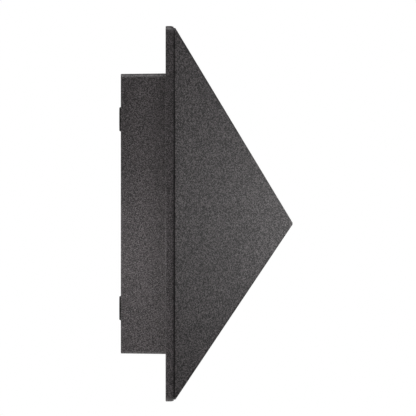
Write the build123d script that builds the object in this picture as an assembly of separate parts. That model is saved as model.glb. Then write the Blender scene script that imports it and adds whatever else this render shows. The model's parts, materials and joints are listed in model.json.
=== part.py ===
from build123d import *
import math
import os

# Outdoor wall light: a wall box, and in front of it a wider head with a pyramid front that lights the wall
# behind it. Sizes are in millimetres. X is the width and Z is up. The wall is the plane Y = 0, and "depth" is
# the distance from the wall towards the room, along -Y. The origin is midway between the two wall screws.

# Rim and front of the head
RIM_WIDTH = 120.0
RIM_HEIGHT = 200.0
RIM_DEPTH = 4.6
RIM_CORNER = 3.0
RIM_BACK_EDGE = 0.5
RIM_WALL = 2.0
RIM_LIP = 3.0
FRONT_DEPTH = 63.4
FRONT_WALL = 2.0
TIP_DROP = 5.3
TIP_SIZE = 1.0
TIP_CORNER = 0.4
INNER_TIP = 0.6
BEND_RADIUS = 3.5
SEAM_GAP = 0.7
SEAM_INSET = 1.0

# Wall box
BOX_WIDTH = 70.0
BOX_HEIGHT = 150.0
BOX_DEPTH = 24.0
BOX_TUCK = 0.4
BOX_CORNER = 2.5
BOX_INNER_CORNER = 1.0
BOX_WALL = 2.0
BOX_DRAFT = 0.7
SEAT_WIDTH = 3.0
SEAT_THICK = 1.5
POST_RADIUS = 3.4
POST_LENGTH = 9.0
DRAIN_RADIUS = 2.0
DRAIN_DEPTH = 9.0

# Back plate, its seal and screws
PLATE_THICK = 2.0
PLATE_SEAL_THICK = 1.0
PLATE_SEAL_WIDTH = 2.3
PLATE_SCREW_HEAD = 2.8
PLATE_SCREW_SHANK = 1.5
PLATE_SCREW_BITE = 6.0

# Rubber bushes round the wall screws
BUSH_SPACING = 101.4
BUSH_PROUD = 1.0
BUSH_FLANGE = 6.5
BUSH_EDGE = 0.6
BUSH_NECK = 4.0
BUSH_INNER_FLANGE = 6.0
BUSH_INNER_THICK = 1.2
BUSH_BORE = 2.4

# Supply cable inlet
INLET_Z = -20.0
INLET_BORE = 3.5
INLET_NECK = 6.0
INLET_FLANGE = 8.0
INLET_FLANGE_THICK = 1.5
INLET_CONE_ROOT = 5.6
INLET_CONE_END = 4.4
INLET_CONE_LENGTH = 5.5

# Terminal block with three lever clamps
TERMINAL_SIDE_GAP = 5.3
TERMINAL_Z = 14.0
TERMINAL_HEIGHT = 18.0
TERMINAL_DEPTH = 10.0
TERMINAL_WALL = 1.0
POLE_PITCH = 6.6
POLES = ("live", "neutral", "earth")
LEVER_BARREL = 1.8
LEVER_THICK = 1.8
LEVER_TAIL = 1.5
LEVER_SET_BACK = 0.2
PIVOT_SET_BACK = 1.9
PIN_RADIUS = 0.8
WIRE_HOLE = 1.6
WIRE_HOLE_LENGTH = 10.0
WIRE_DEPTH = 3.4
CONTACT_WIDTH = 2.8
CONTACT_THICK = 0.9
CONTACT_SET_IN = 2.5
CONTACT_DEPTH = 1.1
LEAD_RADIUS = 0.9
LEAD_GRIP = 4.0
LEAD_RISE = {"live": 14.0, "neutral": 18.0}
LEAD_ARC_SHARE = 0.45

# Driver
DRIVER_SIDE_GAP = 3.7
DRIVER_Z = -6.0
DRIVER_WIDTH = 25.0
DRIVER_LENGTH = 64.0
DRIVER_CASE_DEPTH = 13.0
DRIVER_WALL = 1.6
DRIVER_CORNER = 1.2
DRIVER_LID_THICK = 2.4
DRIVER_LIP = 1.2
DRIVER_EAR_LENGTH = 6.0
DRIVER_EAR_WIDTH = 12.0
DRIVER_EAR_THICK = 2.0
BOARD_STAND = 2.5
BOARD_POST = 1.5
DRIVER_BOARD_THICK = 1.6
COIL_SIZE = 13.0
COIL_CORNER = 1.0
COIL_DEPTH = 6.0
CAPACITOR_RADIUS = 4.0
CAPACITOR_DEPTH = 6.5
DRIVER_SCREW_HEAD = 2.8
SOCKET_WIDTH = 12.0
SOCKET_HEIGHT = 9.0
SOCKET_DEPTH = 5.6
PLUG_GAP = 0.6
CONTACT_PIN = 0.85
CONTACT_PIN_REACH = 4.0
CONTACT_PIN_GRIP = 5.0
CONTACT_PITCH = 5.0

# Earth point
EARTH_INSET_X = 12.7
EARTH_INSET_Z = 16.7
EARTH_SCREW = 2.0
EARTH_SCREW_HEAD = 3.8
LUG_RADIUS = 4.0
LUG_THICK = 0.8
LUG_BARREL = 1.6
LUG_BARREL_LENGTH = 6.5
LUG_BARREL_END = 1.0

# Gasket and clamping screws between box and head
GASKET_THICK = 0.8
COLLAR_REACH = 11.0
COLLAR_WALL = 1.5
COLLAR_CORNER = 1.5
SET_SCREW_RADIUS = 2.0
SET_SCREW_LENGTH = 5.6
SET_SCREW_DEPTH = 18.5
SET_BOSS_WIDTH = 9.0
SET_BOSS_DEPTH = 8.0
SET_BOSS_HEIGHT = 4.2
HEX_RADIUS = 1.15
HEX_DEPTH = 2.5

# Diffuser
DIFFUSER_THICK = 2.0
DIFFUSER_LEDGE = 3.0
DIFFUSER_LEDGE_THICK = 1.5
SEAL_WIDTH = 2.6

# LED tray, boards and chips
BOARD_MARGIN = 1.8
TRAY_THICK = 1.5
TRAY_CLEARANCE = 1.5
LED_BOARD_WIDTH = 8.0
LED_BOARD_THICK = 1.2
SIDE_BOARD_LENGTH = 112.0
END_BOARD_LENGTH = 60.0
SIDE_CHIPS = 8
END_CHIPS = 4
LED_BOARDS = {"left": (-1, True), "right": (1, True), "bottom": (-1, False), "top": (1, False)}
CHIP_LENGTH = 3.5
CHIP_WIDTH = 2.8
CHIP_THICK = 0.7
LED_LEAD_RADIUS = 0.7
LED_LEAD_SPREAD = 3.0
LED_LEAD_STRAIGHT = 5.0
JUMPER_OVERLAP = 4.0

# Screws of the head
RIM_SCREW_INSET_X = 10.5
RIM_SCREW_INSET_Z = 13.0
GUSSET_MARGIN = 4.8
COVER_BOSS = 3.6
RIM_SCREW_BITE = 4.8
COVER_BOSS_LENGTH = 10.0
TRAY_SCREW_BESIDE = 11.4
TRAY_SCREW_BEYOND = 4.9
TRAY_SCREW_BITE = 4.2
SCREW_SHANK = 1.5
SCREW_HEAD = 2.8
SCREW_HEAD_THICK = 2.0
CROSS_WIDTH = 0.7
CROSS_DEPTH = 0.9
CROSS_MARGIN = 1.0

# Clearances
FIT = 0.05
LOOSE = 0.3
SLIDE = 0.5
THREAD_END = 0.3
HOLE_SLACK = 0.2
JOIN = 0.5

# Depths of the main faces, from the wall
BACK = BUSH_PROUD
PLATE_FRONT = BACK + PLATE_THICK
SEAT_BACK = PLATE_FRONT + PLATE_SEAL_THICK
SEAT_FRONT = SEAT_BACK + SEAT_THICK
RIM_BACK = BACK + BOX_DEPTH
BOX_FRONT = RIM_BACK + BOX_TUCK
COLLAR_END = BOX_FRONT - COLLAR_REACH
DIFFUSER_BACK = BOX_FRONT + GASKET_THICK
DIFFUSER_FRONT = DIFFUSER_BACK + DIFFUSER_THICK
BEND = RIM_BACK + RIM_DEPTH
RIM_FRONT = BEND - SEAM_GAP / 2
COVER_BASE = BEND + SEAM_GAP / 2
TIP = BEND + FRONT_DEPTH

# Half widths and half heights that several pieces share
DRAFT_RUN = (BOX_FRONT - BACK) * math.tan(math.radians(BOX_DRAFT))
INNER_X = BOX_WIDTH / 2 - DRAFT_RUN - BOX_WALL
INNER_Z = BOX_HEIGHT / 2 - DRAFT_RUN - BOX_WALL
COLLAR_X = INNER_X - SLIDE
COLLAR_Z = INNER_Z - SET_BOSS_HEIGHT - LOOSE
RIM_INNER_X = RIM_WIDTH / 2 - RIM_WALL
RIM_INNER_Z = RIM_HEIGHT / 2 - RIM_WALL
RIM_SCREW_X = RIM_WIDTH / 2 - RIM_SCREW_INSET_X
RIM_SCREW_Z = RIM_HEIGHT / 2 - RIM_SCREW_INSET_Z
GUSSET_X = RIM_SCREW_X - GUSSET_MARGIN
GUSSET_Z = RIM_SCREW_Z - GUSSET_MARGIN
POST_X = INNER_X - SEAT_WIDTH - POST_RADIUS + HOLE_SLACK
POST_Z = INNER_Z - SEAT_WIDTH - POST_RADIUS + HOLE_SLACK
SIGNS = ((-1, -1), (-1, 1), (1, -1), (1, 1))

# Terminal block faces and lever pivot
TERMINAL_WIDTH = len(POLES) * POLE_PITCH + TERMINAL_WALL
TERMINAL_X = INNER_X - TERMINAL_SIDE_GAP - TERMINAL_WIDTH / 2
TERMINAL_TOP = TERMINAL_Z + TERMINAL_HEIGHT / 2
TERMINAL_BOTTOM = TERMINAL_Z - TERMINAL_HEIGHT / 2
TERMINAL_FRONT = PLATE_FRONT + TERMINAL_DEPTH
PIVOT_DEPTH = TERMINAL_FRONT - PIVOT_SET_BACK
PIVOT_Z = TERMINAL_TOP - TERMINAL_WALL - LOOSE - LEVER_BARREL
SLOT_WIDTH = POLE_PITCH - TERMINAL_WALL
LEVER_WIDTH = SLOT_WIDTH - 2 * LOOSE
LEAD_DEPTH = PLATE_FRONT + WIRE_DEPTH

# The cable comes in below the terminal block, and the earth point is in the upper corner
INLET_X = TERMINAL_X
EARTH_X = INNER_X - EARTH_INSET_X
EARTH_Z = INNER_Z - EARTH_INSET_Z

# Driver faces
DRIVER_X = DRIVER_SIDE_GAP + DRIVER_WIDTH / 2 - INNER_X
CASE_FRONT = PLATE_FRONT + DRIVER_CASE_DEPTH
LID_FRONT = CASE_FRONT + DRIVER_LID_THICK
DRIVER_TOP = DRIVER_Z + DRIVER_LENGTH / 2
DRIVER_EAR_Z = DRIVER_LENGTH / 2 + DRIVER_EAR_LENGTH / 2
SOCKET_FRONT = LID_FRONT + SOCKET_DEPTH
PLUG_BACK = SOCKET_FRONT + PLUG_GAP


def wall_run(rise, wall):
    """How far a wall moves a sloping face of the front in, measured square to the depth."""
    return wall * math.hypot(rise, FRONT_DEPTH) / FRONT_DEPTH


# The LED tray lies as deep in the front as its boards have room for, beside the collar, above and below it
BOARD_ROOM = LED_BOARD_WIDTH + 2 * BOARD_MARGIN + TRAY_CLEARANCE
TRAY_REACHES = (
    (RIM_WIDTH / 2, COLLAR_X + BOARD_ROOM),
    (RIM_HEIGHT / 2 + TIP_DROP, COLLAR_Z + BOARD_ROOM + TIP_DROP),
    (RIM_HEIGHT / 2 - TIP_DROP, COLLAR_Z + BOARD_ROOM - TIP_DROP),
)
TRAY_REST = max((reach + wall_run(rise, FRONT_WALL)) / rise for rise, reach in TRAY_REACHES)
TRAY_FRONT = BEND + FRONT_DEPTH * (1 - TRAY_REST)
TRAY_BACK = TRAY_FRONT - TRAY_THICK
BOARD_BACK = TRAY_BACK - LED_BOARD_THICK
CHIP_BACK = BOARD_BACK - CHIP_THICK


def prism(sketch, start, end, x=0.0, z=0.0):
    """A flat outline drawn in X and Z, given thickness from one depth to another."""
    return extrude(Plane.XZ.offset(start) * Pos(x, z) * sketch, amount=end - start)


def rod(radius, start, end, x=0.0, z=0.0):
    """A round bar that runs from one depth to another."""
    return prism(Circle(radius), start, end, x, z)


def upright(radius, low, high, x, depth):
    """A round bar that runs up."""
    return extrude(Plane.XY.offset(low) * Pos(x, -depth) * Circle(radius), amount=high - low)


def crosswise(radius, left, right, depth, z):
    """A round bar that runs from left to right."""
    return extrude(Plane.YZ.offset(left) * Pos(-depth, z) * Circle(radius), amount=right - left)


def bar(left, right, start, end, low, high):
    """A rectangular bar between two widths, two depths and two heights."""
    middle = Pos((left + right) / 2, -(start + end) / 2, (low + high) / 2)
    return middle * Box(right - left, end - start, high - low)


def rounded(half_width, half_height, corner):
    """A rounded rectangle, by its half width and half height."""
    return RectangleRounded(2 * half_width, 2 * half_height, corner)


def turned(profile, x, z):
    """A turned piece: its profile is a list of (radius, depth), spun about an axis square to the wall."""
    outline = make_face(Polyline(*[(radius, -depth) for radius, depth in profile], close=True))
    return Pos(x, 0, z) * revolve(outline, Axis.Y, 360)


def pan_screw(x, z, seat, tip, head_radius, shank_radius):
    """A round-headed screw. Its head rests on the depth called seat, and its end is at tip."""
    way = 1 if tip > seat else -1
    top = seat - way * SCREW_HEAD_THICK
    floor = top + way * CROSS_DEPTH
    head = rod(head_radius, min(top, seat), max(top, seat), x, z)
    shank = rod(shank_radius, min(seat, tip), max(seat, tip), x, z)
    return head + shank - cross_recess(head_radius, min(top, floor), max(top, floor), x, z)


def cross_recess(head_radius, start, end, x, z):
    """The cross in a screw head that a screwdriver turns."""
    length = 2 * (head_radius - CROSS_MARGIN)
    cross = Rectangle(length, CROSS_WIDTH) + Rectangle(CROSS_WIDTH, length)
    return prism(cross, start, end, x, z)


def countersunk_profile(face, tip, head_radius, shank_radius):
    """The profile of a countersunk screw whose head is flush with the depth called face."""
    neck = face + head_radius - shank_radius
    return [(0, face), (head_radius, face), (shank_radius, neck), (shank_radius, tip), (0, tip)]


def lead(points, radius):
    """A round lead along straight runs and the largest arcs that they allow. Points are (x, depth, z)."""
    route = [Vector(x, -depth, z) for x, depth, z in points]
    runs = [after - before for before, after in zip(route, route[1:])]
    radii = []
    for before, after in zip(runs, runs[1:]):
        half_turn = math.radians(before.get_angle(after) / 2)
        radii.append(LEAD_ARC_SHARE * min(before.length, after.length) / math.tan(half_turn))
    path = FilletPolyline(*route, radius=radii)
    tube = sweep(Plane(origin=path @ 0, z_dir=path % 0) * Circle(radius), path=path)
    print("lead", round(tube.volume / (math.pi * radius**2 * path.length), 4), [round(r, 1) for r in radii])
    return tube


def inset_rectangle(wall, depth):
    """The front's outline at a depth, moved in by a wall: its width, height and the height of its middle."""
    rest = 1 - (depth - BEND) / FRONT_DEPTH
    sides = []
    for rise in (RIM_WIDTH / 2, RIM_HEIGHT / 2 + TIP_DROP, RIM_HEIGHT / 2 - TIP_DROP):
        sides.append(rise * rest - wall_run(rise, wall))
    half_width, above, below = sides
    return 2 * half_width, above + below, (above - below) / 2 - TIP_DROP


def inner_pyramid(wall, start):
    """The pyramid that lies a wall inside the front, from a depth to just short of its own tip."""
    rise = RIM_WIDTH / 2
    rest = (INNER_TIP + wall_run(rise, wall)) / rise
    sections = []
    for depth in (start, BEND + FRONT_DEPTH * (1 - rest)):
        width, height, middle = inset_rectangle(wall, depth)
        sections.append(Plane.XZ.offset(depth) * Pos(0, middle) * Rectangle(width, height))
    return loft(sections, ruled=True)


def head_form():
    """The outer form of rim and front as one body, with the bend between them rounded."""
    outline = rounded(RIM_WIDTH / 2, RIM_HEIGHT / 2, RIM_CORNER)
    tip = Plane.XZ.offset(TIP) * Pos(0, -TIP_DROP) * RectangleRounded(TIP_SIZE, TIP_SIZE, TIP_CORNER)
    front = loft([Plane.XZ.offset(BEND) * outline, tip], ruled=True)
    form = prism(outline, RIM_BACK, BEND) + front
    bend_edges = form.edges().filter_by_position(Axis.Y, -BEND - FIT, -BEND + FIT)
    return fillet(bend_edges, BEND_RADIUS)


def box_shell():
    """The four walls of the wall box, with the seat for the back plate and the screw bosses."""
    back = rounded(BOX_WIDTH / 2 - DRAFT_RUN, BOX_HEIGHT / 2 - DRAFT_RUN, BOX_CORNER)
    front = rounded(BOX_WIDTH / 2, BOX_HEIGHT / 2, BOX_CORNER)
    shell = loft([Plane.XZ.offset(BACK) * back, Plane.XZ.offset(BOX_FRONT) * front], ruled=True)
    shell -= prism(rounded(INNER_X, INNER_Z, BOX_INNER_CORNER), BACK, BOX_FRONT)
    seat = rounded(INNER_X + JOIN, INNER_Z + JOIN, BOX_INNER_CORNER)
    seat -= rounded(INNER_X - SEAT_WIDTH, INNER_Z - SEAT_WIDTH, BOX_INNER_CORNER)
    shell += prism(seat, SEAT_BACK, SEAT_FRONT)
    for side_x, side_z in SIGNS:
        shell += rod(POST_RADIUS, PLATE_FRONT, PLATE_FRONT + POST_LENGTH, side_x * POST_X, side_z * POST_Z)
    for side in (-1, 1):
        ends = sorted((side * (INNER_Z + JOIN), side * (INNER_Z - SET_BOSS_HEIGHT)))
        shell += bar(
            -SET_BOSS_WIDTH / 2,
            SET_BOSS_WIDTH / 2,
            SET_SCREW_DEPTH - SET_BOSS_DEPTH / 2,
            SET_SCREW_DEPTH + SET_BOSS_DEPTH / 2,
            *ends,
        )
    for side_x, side_z in SIGNS:
        hole_end = PLATE_FRONT + PLATE_SCREW_BITE + THREAD_END
        shell -= rod(PLATE_SCREW_SHANK + FIT, PLATE_FRONT, hole_end, side_x * POST_X, side_z * POST_Z)
    shell -= upright(SET_SCREW_RADIUS + FIT, -BOX_HEIGHT, BOX_HEIGHT, 0, SET_SCREW_DEPTH)
    shell -= upright(DRAIN_RADIUS, -BOX_HEIGHT, 0, 0, BACK + DRAIN_DEPTH)
    return shell


def back_plate():
    """The plate in the back of the box, with the holes for bushes, cable inlet and screws."""
    outline = rounded(INNER_X - LOOSE, INNER_Z - LOOSE, BOX_INNER_CORNER)
    plate = prism(outline, BACK, PLATE_FRONT)
    for side in (-1, 1):
        plate -= rod(BUSH_NECK + FIT, BACK, PLATE_FRONT, 0, side * BUSH_SPACING / 2)
    plate -= rod(INLET_NECK + FIT, BACK, PLATE_FRONT, INLET_X, INLET_Z)
    plate -= rod(EARTH_SCREW + FIT, BACK, PLATE_FRONT, EARTH_X, EARTH_Z)
    for side in (-1, 1):
        plate -= rod(SCREW_SHANK + FIT, BACK, PLATE_FRONT, DRIVER_X, DRIVER_Z + side * DRIVER_EAR_Z)
    sink = countersunk_profile(BACK, PLATE_FRONT, PLATE_SCREW_HEAD + FIT, PLATE_SCREW_SHANK + FIT)
    for side_x, side_z in SIGNS:
        plate -= turned(sink, side_x * POST_X, side_z * POST_Z)
    return plate


def back_plate_seal():
    """The flat ring between the back plate and its seat in the box."""
    ring = rounded(INNER_X - LOOSE, INNER_Z - LOOSE, BOX_INNER_CORNER)
    ring -= rounded(INNER_X - LOOSE - PLATE_SEAL_WIDTH, INNER_Z - LOOSE - PLATE_SEAL_WIDTH, BOX_INNER_CORNER)
    return prism(ring, PLATE_FRONT, SEAT_BACK)


def back_plate_screws():
    """Four countersunk screws that hold the back plate to the posts of the box."""
    profile = countersunk_profile(
        BACK, PLATE_FRONT + PLATE_SCREW_BITE, PLATE_SCREW_HEAD, PLATE_SCREW_SHANK
    )
    screws = []
    for side_x, side_z in SIGNS:
        x = side_x * POST_X
        z = side_z * POST_Z
        recess = cross_recess(PLATE_SCREW_HEAD, BACK, BACK + CROSS_DEPTH, x, z)
        screws.append(turned(profile, x, z) - recess)
    return screws


def wall_screw_bush(z):
    """A rubber bush that seals one wall screw: a flange against the wall, a neck and an inner flange."""
    bush = rod(BUSH_FLANGE, 0, BACK, 0, z)
    bush = fillet(bush.edges().group_by(Axis.Y)[-1], BUSH_EDGE)
    bush += rod(BUSH_NECK, BACK, PLATE_FRONT, 0, z)
    bush += rod(BUSH_INNER_FLANGE, PLATE_FRONT, PLATE_FRONT + BUSH_INNER_THICK, 0, z)
    return bush - rod(BUSH_BORE, 0, PLATE_FRONT + BUSH_INNER_THICK, 0, z)


def cable_grommet():
    """The rubber inlet for the supply cable, flush with the back and tapering inside the box."""
    flange_front = PLATE_FRONT + INLET_FLANGE_THICK
    cone_end = flange_front + INLET_CONE_LENGTH
    profile = [
        (INLET_BORE, BACK),
        (INLET_NECK, BACK),
        (INLET_NECK, PLATE_FRONT),
        (INLET_FLANGE, PLATE_FRONT),
        (INLET_FLANGE, flange_front),
        (INLET_CONE_ROOT, flange_front),
        (INLET_CONE_END, cone_end),
        (INLET_BORE, cone_end),
    ]
    return turned(profile, INLET_X, INLET_Z)


def pole_x(index):
    """The middle of one pole of the terminal block."""
    return TERMINAL_X + (index - (len(POLES) - 1) / 2) * POLE_PITCH


def contact_bar(index, slack):
    """The metal bar of one pole, or with slack the pocket that it lies in."""
    x = pole_x(index)
    start = PLATE_FRONT + CONTACT_DEPTH
    return bar(
        x - CONTACT_WIDTH / 2 - slack,
        x + CONTACT_WIDTH / 2 + slack,
        start - slack,
        start + CONTACT_THICK + slack,
        TERMINAL_BOTTOM + CONTACT_SET_IN - slack,
        TERMINAL_TOP - CONTACT_SET_IN + slack,
    )


def terminal_block():
    """The housing of the supply terminals: a lever slot, a wire hole and a lead hole for each pole."""
    left = TERMINAL_X - TERMINAL_WIDTH / 2
    right = TERMINAL_X + TERMINAL_WIDTH / 2
    block = bar(left, right, PLATE_FRONT, TERMINAL_FRONT, TERMINAL_BOTTOM, TERMINAL_TOP)
    slot_floor = PIVOT_DEPTH - LEVER_BARREL - LOOSE
    for index in range(len(POLES)):
        x = pole_x(index)
        slot_left = x - SLOT_WIDTH / 2
        slot_right = x + SLOT_WIDTH / 2
        slot_top = TERMINAL_TOP - TERMINAL_WALL
        block -= bar(slot_left, slot_right, slot_floor, TERMINAL_FRONT, TERMINAL_BOTTOM, slot_top)
        block -= upright(WIRE_HOLE, TERMINAL_BOTTOM, TERMINAL_BOTTOM + WIRE_HOLE_LENGTH, x, LEAD_DEPTH)
        block -= upright(LEAD_RADIUS + FIT, TERMINAL_TOP - LEAD_GRIP, TERMINAL_TOP, x, LEAD_DEPTH)
        block -= contact_bar(index, FIT)
    return block - crosswise(PIN_RADIUS + FIT, left, right, PIVOT_DEPTH, PIVOT_Z)


def lever_pin():
    """The pin that the three levers turn on."""
    left = TERMINAL_X - TERMINAL_WIDTH / 2
    return crosswise(PIN_RADIUS, left, left + TERMINAL_WIDTH, PIVOT_DEPTH, PIVOT_Z)


def lever(index):
    """One clamp lever, closed: a barrel on the pin and a flat that ends just past the block."""
    x = pole_x(index)
    left = x - LEVER_WIDTH / 2
    right = x + LEVER_WIDTH / 2
    flat_front = TERMINAL_FRONT - LEVER_SET_BACK
    flat = bar(left, right, flat_front - LEVER_THICK, flat_front, TERMINAL_BOTTOM - LEVER_TAIL, PIVOT_Z)
    barrel = crosswise(LEVER_BARREL, left, right, PIVOT_DEPTH, PIVOT_Z)
    return flat + barrel - crosswise(PIN_RADIUS + FIT, left, right, PIVOT_DEPTH, PIVOT_Z)


def driver_case():
    """The open case of the driver, with two ears for its screws and posts for its board."""
    half_width = DRIVER_WIDTH / 2
    half_length = DRIVER_LENGTH / 2
    case = prism(rounded(half_width, half_length, DRIVER_CORNER), PLATE_FRONT, CASE_FRONT)
    floor = PLATE_FRONT + DRIVER_WALL
    hollow = Rectangle(DRIVER_WIDTH - 2 * DRIVER_WALL, DRIVER_LENGTH - 2 * DRIVER_WALL)
    case -= prism(hollow, floor, CASE_FRONT)
    ear = Rectangle(DRIVER_EAR_WIDTH, DRIVER_EAR_LENGTH + JOIN)
    for side in (-1, 1):
        middle = side * (DRIVER_EAR_Z - JOIN / 2)
        case += prism(ear, PLATE_FRONT, PLATE_FRONT + DRIVER_EAR_THICK, 0, middle)
        case -= rod(SCREW_SHANK + HOLE_SLACK, PLATE_FRONT, CASE_FRONT, 0, side * DRIVER_EAR_Z)
    for side_x, side_z in SIGNS:
        x = side_x * (half_width - DRIVER_WALL - BOARD_POST - LOOSE)
        z = side_z * (half_length - DRIVER_WALL - BOARD_POST - LOOSE)
        case += rod(BOARD_POST, floor - JOIN, floor + BOARD_STAND, x, z)
    case = Pos(DRIVER_X, 0, DRIVER_Z) * case
    for x in driver_lead_places():
        case -= upright(LEAD_RADIUS + FIT, DRIVER_TOP - DRIVER_WALL, DRIVER_TOP, x, lead_entry_depth())
    return case


def driver_lead_places():
    """Where the live and neutral leads enter the top of the driver."""
    return DRIVER_X + DRIVER_WIDTH / 4, DRIVER_X


def lead_entry_depth():
    """The depth of the two lead holes in the driver's top wall, clear of its board."""
    board_front = PLATE_FRONT + DRIVER_WALL + BOARD_STAND + DRIVER_BOARD_THICK
    return (board_front + CASE_FRONT) / 2


def driver_lid():
    """The lid of the driver, with a lip that fits inside the case."""
    lid = prism(rounded(DRIVER_WIDTH / 2, DRIVER_LENGTH / 2, DRIVER_CORNER), CASE_FRONT, LID_FRONT)
    lip_width = DRIVER_WIDTH - 2 * DRIVER_WALL - 2 * FIT
    lip_length = DRIVER_LENGTH - 2 * DRIVER_WALL - 2 * FIT
    lip = Rectangle(lip_width, lip_length)
    lip -= Rectangle(lip_width - 2 * DRIVER_LIP, lip_length - 2 * DRIVER_LIP)
    lid += prism(lip, CASE_FRONT - DRIVER_LIP, CASE_FRONT)
    return Pos(DRIVER_X, 0, DRIVER_Z) * lid


def driver_board():
    """The driver's circuit board with its coil and two capacitors, soldered together."""
    back = PLATE_FRONT + DRIVER_WALL + BOARD_STAND
    front = back + DRIVER_BOARD_THICK
    width = DRIVER_WIDTH - 2 * DRIVER_WALL - 2 * LOOSE
    length = DRIVER_LENGTH - 2 * DRIVER_WALL - 2 * LOOSE
    board = prism(Rectangle(width, length), back, front)
    board += prism(RectangleRounded(COIL_SIZE, COIL_SIZE, COIL_CORNER), front, front + COIL_DEPTH)
    for side in (-1, 1):
        board += rod(CAPACITOR_RADIUS, front, front + CAPACITOR_DEPTH, 0, side * DRIVER_LENGTH / 4)
    return Pos(DRIVER_X, 0, DRIVER_Z) * board


def driver_screws():
    """Two screws through the driver's ears into the back plate."""
    seat = PLATE_FRONT + DRIVER_EAR_THICK
    screws = []
    for side in (-1, 1):
        z = DRIVER_Z + side * DRIVER_EAR_Z
        screws.append(pan_screw(DRIVER_X, z, seat, BACK, DRIVER_SCREW_HEAD, SCREW_SHANK))
    return screws


def contact_places():
    """The heights of the two contacts between driver and head."""
    return DRIVER_Z - CONTACT_PITCH / 2, DRIVER_Z + CONTACT_PITCH / 2


def output_socket():
    """The socket on the driver that the head plugs into."""
    outline = RectangleRounded(SOCKET_WIDTH, SOCKET_HEIGHT, DRIVER_CORNER)
    socket = prism(outline, LID_FRONT, SOCKET_FRONT, DRIVER_X, DRIVER_Z)
    for z in contact_places():
        hole_end = SOCKET_FRONT - CONTACT_PIN_REACH + PLUG_GAP - THREAD_END
        socket -= rod(CONTACT_PIN + 2 * FIT, hole_end, SOCKET_FRONT, DRIVER_X, z)
    return socket


def led_plug():
    """The plug under the LED tray that meets the driver's socket."""
    outline = RectangleRounded(SOCKET_WIDTH, SOCKET_HEIGHT, DRIVER_CORNER)
    plug = prism(outline, PLUG_BACK, TRAY_BACK, DRIVER_X, DRIVER_Z)
    for z in contact_places():
        plug -= rod(CONTACT_PIN + FIT, PLUG_BACK, PLUG_BACK + CONTACT_PIN_GRIP, DRIVER_X, z)
    return plug


def plug_pins():
    """The two contact pins of the plug."""
    start = PLUG_BACK - CONTACT_PIN_REACH
    return [rod(CONTACT_PIN, start, PLUG_BACK + CONTACT_PIN_GRIP, DRIVER_X, z) for z in contact_places()]


def earth_lug():
    """The ring lug under the earth screw, with a barrel that holds the earth lead."""
    lug = rod(LUG_RADIUS, PLATE_FRONT, PLATE_FRONT + LUG_THICK, EARTH_X, EARTH_Z)
    barrel_top = EARTH_Z - LUG_RADIUS
    barrel_depth = PLATE_FRONT + LUG_BARREL
    barrel_bottom = barrel_top - LUG_BARREL_LENGTH
    tongue_bottom = barrel_top - LUG_BARREL_END
    tongue_left = EARTH_X - LUG_BARREL
    tongue_right = EARTH_X + LUG_BARREL
    lug += bar(tongue_left, tongue_right, PLATE_FRONT, PLATE_FRONT + LUG_THICK, tongue_bottom, EARTH_Z)
    lug += upright(LUG_BARREL, barrel_bottom, barrel_top, EARTH_X, barrel_depth)
    lug -= upright(LEAD_RADIUS + FIT, barrel_bottom, tongue_bottom, EARTH_X, barrel_depth)
    return lug - rod(EARTH_SCREW + HOLE_SLACK, PLATE_FRONT, PLATE_FRONT + LUG_THICK, EARTH_X, EARTH_Z)


def earth_screw():
    """The earth screw, which holds the lug to the back plate."""
    return pan_screw(EARTH_X, EARTH_Z, PLATE_FRONT + LUG_THICK, BACK, EARTH_SCREW_HEAD, EARTH_SCREW)


def earth_lead():
    """From the earth pole of the terminal block to the barrel of the earth lug."""
    x = pole_x(POLES.index("earth"))
    barrel_bottom = EARTH_Z - LUG_RADIUS - LUG_BARREL_LENGTH
    barrel_depth = PLATE_FRONT + LUG_BARREL
    start = TERMINAL_TOP - LEAD_GRIP
    bend = (TERMINAL_TOP + barrel_bottom) / 2
    return lead(
        [
            (x, LEAD_DEPTH, start),
            (x, LEAD_DEPTH, bend - LUG_BARREL_LENGTH / 2),
            (EARTH_X, barrel_depth, bend + LUG_BARREL_LENGTH / 2),
            (EARTH_X, barrel_depth, EARTH_Z - LUG_RADIUS - 2 * LUG_BARREL_END),
        ],
        LEAD_RADIUS,
    )


def supply_lead(pole):
    """A lead from one pole up, across and down into the top of the driver."""
    index = POLES.index(pole)
    start_x = pole_x(index)
    end_x = driver_lead_places()[index]
    crossing = TERMINAL_TOP + LEAD_RISE[pole]
    entry = lead_entry_depth()
    return lead(
        [
            (start_x, LEAD_DEPTH, TERMINAL_TOP - LEAD_GRIP),
            (start_x, LEAD_DEPTH, crossing),
            (end_x, entry, crossing),
            (end_x, entry, DRIVER_TOP - DRIVER_WALL),
        ],
        LEAD_RADIUS,
    )


def box_gasket():
    """The ring on the front edge of the box that seals it to the head."""
    ring = rounded(BOX_WIDTH / 2, BOX_HEIGHT / 2, BOX_CORNER) - rounded(INNER_X, INNER_Z, BOX_INNER_CORNER)
    return prism(ring, BOX_FRONT, DIFFUSER_BACK)


def set_screw(side):
    """A grub screw in the top (1) or bottom (-1) of the box, with a hexagon socket."""
    tip = COLLAR_Z + LOOSE
    end = tip + SET_SCREW_LENGTH
    screw = upright(SET_SCREW_RADIUS, tip, end, 0, SET_SCREW_DEPTH)
    hexagon = Plane.XY.offset(end - HEX_DEPTH) * Pos(0, -SET_SCREW_DEPTH) * RegularPolygon(HEX_RADIUS, 6)
    screw -= extrude(hexagon, amount=HEX_DEPTH)
    return screw if side > 0 else mirror(screw, Plane.XY)


def tray_half_sizes():
    """The half width and half height of the LED tray, clear of the front's inner faces."""
    width, height, middle = inset_rectangle(FRONT_WALL, TRAY_FRONT)
    return width / 2 - TRAY_CLEARANCE, height / 2 - abs(middle) - TRAY_CLEARANCE


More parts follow.
